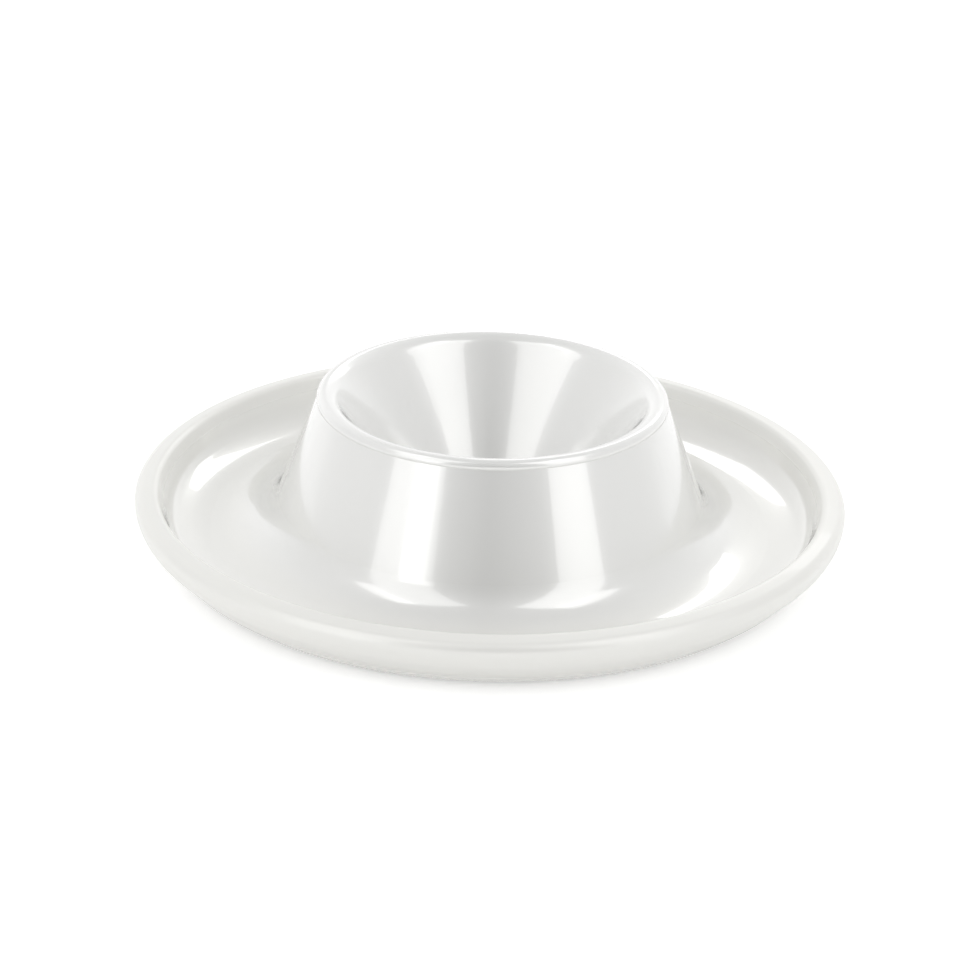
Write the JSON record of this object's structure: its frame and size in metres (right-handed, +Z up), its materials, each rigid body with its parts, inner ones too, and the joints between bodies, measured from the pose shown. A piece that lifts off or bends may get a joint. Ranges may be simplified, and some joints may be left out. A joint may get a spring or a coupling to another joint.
{
  "type": "egg cup",
  "caption": "Low egg cup with a flared cup and conical well rising from a ring-shaped saucer trough, moulded in glossy white plastic.",
  "frame": {"origin": "centre of the base ring, on the surface that the egg cup stands on", "axes": "+Z up along the axis of the cup and saucer; every piece is a full turn about it, so X and Y are any two level directions at right angles, with -Y towards the viewer in the picture"},
  "size_m": [0.105, 0.105, 0.0234],
  "materials": {
    "pearl_white_plastic": "polished white moulding with a faint pearly sheen"
  },
  "bodies": {
    "root": {"cup_lip": "pearl_white_plastic", "cup_wall": "pearl_white_plastic", "egg_well": "pearl_white_plastic", "saucer_floor": "pearl_white_plastic", "saucer_wall": "pearl_white_plastic", "saucer_rim": "pearl_white_plastic", "base_ring": "pearl_white_plastic"}
  },
  "joints": []
}
